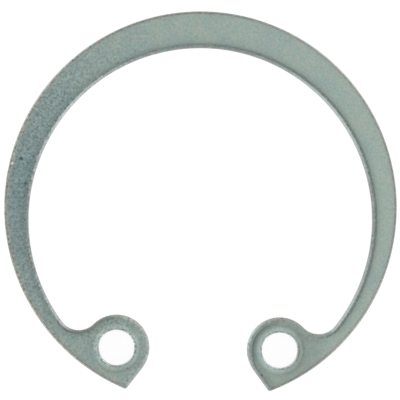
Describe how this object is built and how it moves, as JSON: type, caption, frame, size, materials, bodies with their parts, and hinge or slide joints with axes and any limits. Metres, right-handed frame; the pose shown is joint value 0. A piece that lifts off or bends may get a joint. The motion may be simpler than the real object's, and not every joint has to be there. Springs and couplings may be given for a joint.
{
  "type": "internal circlip",
  "caption": "Flat tapered spring-steel ring, open on one side, with a drilled lug at each end for pliers. It snaps into a groove in a bore and keeps a bearing or pin from sliding out.",
  "frame": {"origin": "on the ring's axis, at half its thickness", "axes": "+Z along the axis, out of the face whose inner edge is rolled over; -Y through the middle of the gap; +X across the lugs"},
  "size_m": [0.0268, 0.026, 0.0012],
  "materials": {
    "circlip": "dull zinc plate, grey with a faint green tint, mottled and lightly pitted"
  },
  "bodies": {
    "root": {"circlip": "circlip"}
  },
  "joints": []
}
